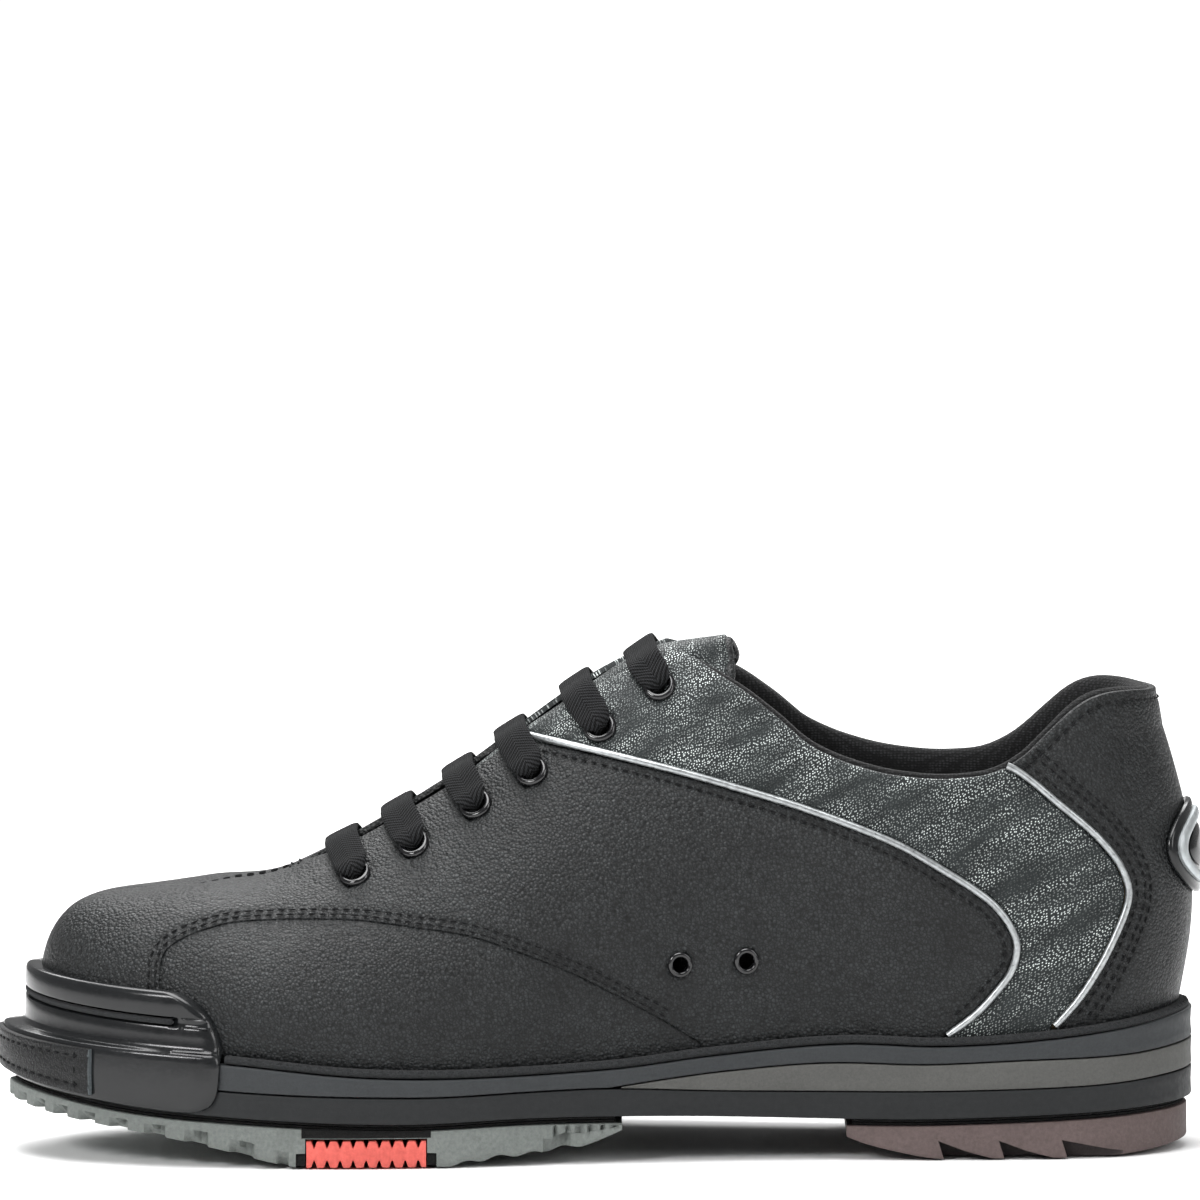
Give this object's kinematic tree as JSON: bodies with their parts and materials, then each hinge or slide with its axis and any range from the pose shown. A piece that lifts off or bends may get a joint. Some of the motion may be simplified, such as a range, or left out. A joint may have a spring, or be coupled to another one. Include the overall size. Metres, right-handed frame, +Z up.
{
  "type": "bowling shoe",
  "caption": "Low-cut lace-up bowling shoe for the right foot, with a moulded toe guard, layered midsole, and pull-off front sole and heel.",
  "frame": {"origin": "middle of the bounding box, at the height of the ground under the soles", "axes": "+Z up; +X from the toe to the heel; -Y towards the medial (arch) side of this right shoe"},
  "size_m": [0.3005, 0.1073, 0.1279],
  "materials": {
    "leather": "black fine-grained leather, soft sheen",
    "printed_leather": "small pebbled silver print over near-black green",
    "piping": "silver piping",
    "lining": "black knitted mesh",
    "stiffener": "stiffened sheet",
    "foam": "soft foam",
    "eyelet": "glossy black enamel",
    "lace": "flat ribbed weave, matte black",
    "guard": "glossy black moulding",
    "silver": "satin silver",
    "midsole_top": "slate foam rubber",
    "midsole_wedge": "warm grey foam rubber",
    "midsole_base": "dark foam rubber",
    "fastening": "black hook-and-loop fabric and welt cord",
    "sole_grey": "grey traction rubber",
    "flex_red": "coral red flexible rubber",
    "heel_brown": "maroon brown rubber",
    "board": "fibre board"
  },
  "bodies": {
    "shoe": {"piping_front_medial": "piping", "piping_heel_medial": "piping", "piping_front_lateral": "piping", "piping_heel_lateral": "piping", "vamp_medial": "leather", "side_panel_medial": "leather", "collar_panel_medial": "printed_leather", "vamp_lateral": "leather", "side_panel_lateral": "leather", "collar_panel_lateral": "printed_leather", "heel_wrap": "leather", "toe_puff": "stiffener", "heel_counter": "stiffener", "collar_foam": "foam", "collar_lining": "lining", "vamp_lining": "lining", "eyelet_medial_1": "eyelet", "eyelet_medial_2": "eyelet", "eyelet_medial_3": "eyelet", "eyelet_medial_4": "eyelet", "eyelet_medial_5": "eyelet", "eyelet_medial_6": "eyelet", "eyelet_lateral_1": "eyelet", "eyelet_lateral_2": "eyelet", "eyelet_lateral_3": "eyelet", "eyelet_lateral_4": "eyelet", "eyelet_lateral_5": "eyelet", "eyelet_lateral_6": "eyelet", "vent_1": "eyelet", "vent_2": "eyelet", "lace": "lace", "aglet_1": "eyelet", "aglet_2": "eyelet", "toe_guard": "guard", "toe_strip": "leather", "badge_plate": "guard", "badge_ring": "silver", "midsole_top": "midsole_top", "midsole_wedge": "midsole_wedge", "midsole_base": "midsole_base", "welt": "fastening", "insole_board": "board", "footbed": "lining", "hook_panel_front": "fastening", "hook_panel_heel": "fastening"},
    "front_sole_unit": {"front_sole": "sole_grey", "flex_insert": "flex_red", "loop_panel_front": "fastening"},
    "heel_unit": {"heel_pad": "heel_brown", "loop_panel_heel": "fastening"},
    "tongue": {"tongue_face": "printed_leather", "tongue_padding": "lining"}
  },
  "joints": [
    {"name": "front_sole_release", "type": "slide", "parent": "shoe", "child": "front_sole_unit", "axis": [0, 0, -1], "range_m": [0, 0.03]},
    {"name": "heel_release", "type": "slide", "parent": "shoe", "child": "heel_unit", "axis": [0, 0, -1], "range_m": [0, 0.03]},
    {"name": "tongue_fold", "type": "hinge", "parent": "shoe", "child": "tongue", "pos_m": [-0.073, -0.006, 0.062], "axis": [0, 1, 0], "range_deg": [0, 8]}
  ]
}
